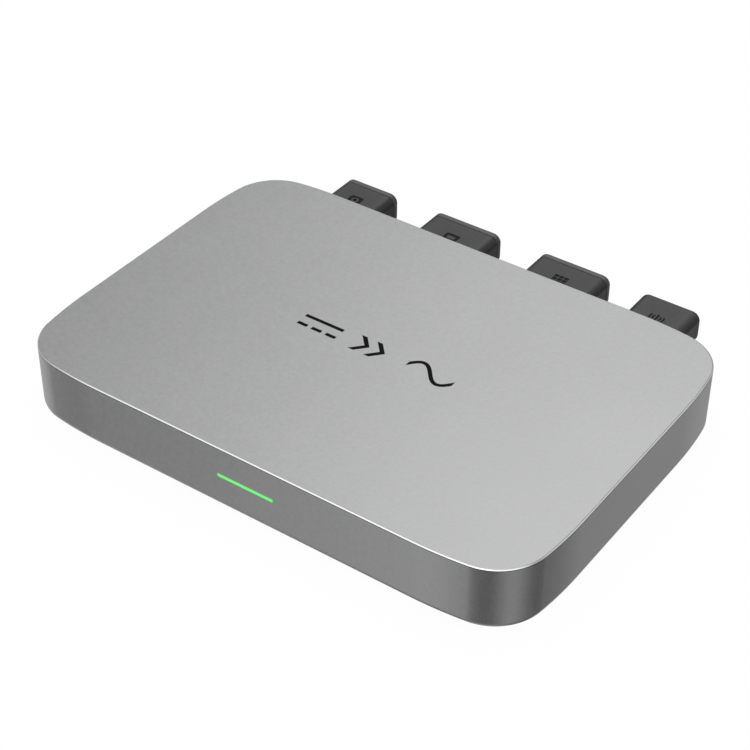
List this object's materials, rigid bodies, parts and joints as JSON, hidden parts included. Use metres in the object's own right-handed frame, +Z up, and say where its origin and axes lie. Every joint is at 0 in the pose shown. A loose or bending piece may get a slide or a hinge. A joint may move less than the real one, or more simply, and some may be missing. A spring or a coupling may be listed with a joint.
{
  "type": "micro inverter",
  "caption": "Flat rounded aluminium case with plug-in connector blocks along one side; turns solar or battery direct current into mains current.",
  "frame": {"origin": "centre of the four mounting holes, on the plane of the rails the case rests on", "axes": "+X along the long side, +Y out of the side with the connector blocks, +Z up through the plain top"},
  "size_m": [0.242, 0.1961, 0.033],
  "materials": {
    "top_shell": "bead-blasted and clear anodised, bright cut chamfer round the top",
    "base_plate": "die cast, fine sand texture",
    "seal_rubber": "matt",
    "base_screws": "stainless, dull",
    "vent_plug": "fine texture",
    "vent_membrane": "felted",
    "light_bar": "translucent diffuser, lit green",
    "light_bar_holder": "satin",
    "circuit_board": "solder mask",
    "leds": "clear resin",
    "small_screws": "zinc plated",
    "led_harness": "soft PVC",
    "port_housing": "fine spark-eroded texture",
    "port_insert": "satin",
    "port_pins": "silver-washed, polished",
    "port_mating_seals": "silicone",
    "port_cap": "moulded silicone, satin",
    "antenna_cable": "coaxial, smooth",
    "insulation_sheet": "thin film",
    "board_standoffs": "turned",
    "transformer_cores": "sintered ferrite",
    "transformer_windings": "varnished copper under tape",
    "transformer_bobbins": "glass-filled",
    "choke_cores": "coated powder core",
    "choke_windings": "enamelled copper",
    "choke_bases": "glass-filled",
    "bus_capacitors": "shrink sleeve",
    "film_capacitors": "moulded box",
    "grid_relays": "moulded case",
    "surge_varistors": "dipped coating",
    "fuse": "ceramic tube with plated ends",
    "heat_spreader": "extruded, sawn ends",
    "thermal_pad": "soft gap filler",
    "power_transistors": "moulded",
    "transistor_clips": "spring steel",
    "control_chips": "moulded",
    "wireless_board": "solder mask",
    "wireless_shield": "tin plated",
    "tinned_copper": "tinned copper",
    "mains_power_wires": "PVC insulation",
    "mains_earth_wire": "PVC insulation",
    "dc_positive_wires": "silicone insulation",
    "dc_negative_wires": "silicone insulation",
    "battery_signal_wires": "PVC insulation"
  },
  "bodies": {
    "case": {"top_shell": "top_shell", "base_plate": "base_plate", "base_gasket": "seal_rubber", "base_screws": "base_screws", "vent_plug": "vent_plug", "vent_membrane": "vent_membrane", "light_bar": "light_bar", "light_bar_holder": "light_bar_holder", "led_board": "circuit_board", "leds": "leds", "led_board_screws": "small_screws", "led_harness": "led_harness", "mains_port_housing": "port_housing", "battery_port_housing": "port_housing", "solar_port_housing": "port_housing", "antenna_housing": "port_housing", "mains_port_insert": "port_insert", "battery_port_insert": "port_insert", "solar_port_insert": "port_insert", "mains_port_pins": "port_pins", "battery_port_pins": "port_pins", "solar_port_pins": "port_pins", "port_flange_gaskets": "seal_rubber", "port_flange_screws": "small_screws", "port_mating_seals": "port_mating_seals", "antenna_board": "circuit_board", "antenna_cable": "antenna_cable", "main_board": "circuit_board", "insulation_sheet": "insulation_sheet", "board_standoffs": "board_standoffs", "board_screws": "small_screws", "transformer_cores": "transformer_cores", "transformer_windings": "transformer_windings", "transformer_bobbins": "transformer_bobbins", "choke_cores": "choke_cores", "choke_windings": "choke_windings", "choke_bases": "choke_bases", "bus_capacitors": "bus_capacitors", "film_capacitors": "film_capacitors", "grid_relays": "grid_relays", "surge_varistors": "surge_varistors", "fuse": "fuse", "heat_spreader": "heat_spreader", "thermal_pad": "thermal_pad", "power_transistors": "power_transistors", "transistor_clips": "transistor_clips", "control_chips": "control_chips", "wireless_board": "wireless_board", "wireless_shield": "wireless_shield", "wire_terminals": "tinned_copper", "earth_terminal": "tinned_copper", "earth_screw": "small_screws", "mains_power_wires": "mains_power_wires", "mains_earth_wire": "mains_earth_wire", "dc_positive_wires": "dc_positive_wires", "dc_negative_wires": "dc_negative_wires", "battery_signal_wires": "battery_signal_wires"},
    "mains_cap": {"mains_port_cap": "port_cap"},
    "battery_cap": {"battery_port_cap": "port_cap"},
    "solar_cap": {"solar_port_cap": "port_cap"}
  },
  "joints": [
    {"name": "mains_cap_pull", "type": "slide", "parent": "case", "child": "mains_cap", "axis": [0, 1, 0], "range_m": [0, 0.025]},
    {"name": "battery_cap_pull", "type": "slide", "parent": "case", "child": "battery_cap", "axis": [0, 1, 0], "range_m": [0, 0.025]},
    {"name": "solar_cap_pull", "type": "slide", "parent": "case", "child": "solar_cap", "axis": [0, 1, 0], "range_m": [0, 0.025]}
  ]
}
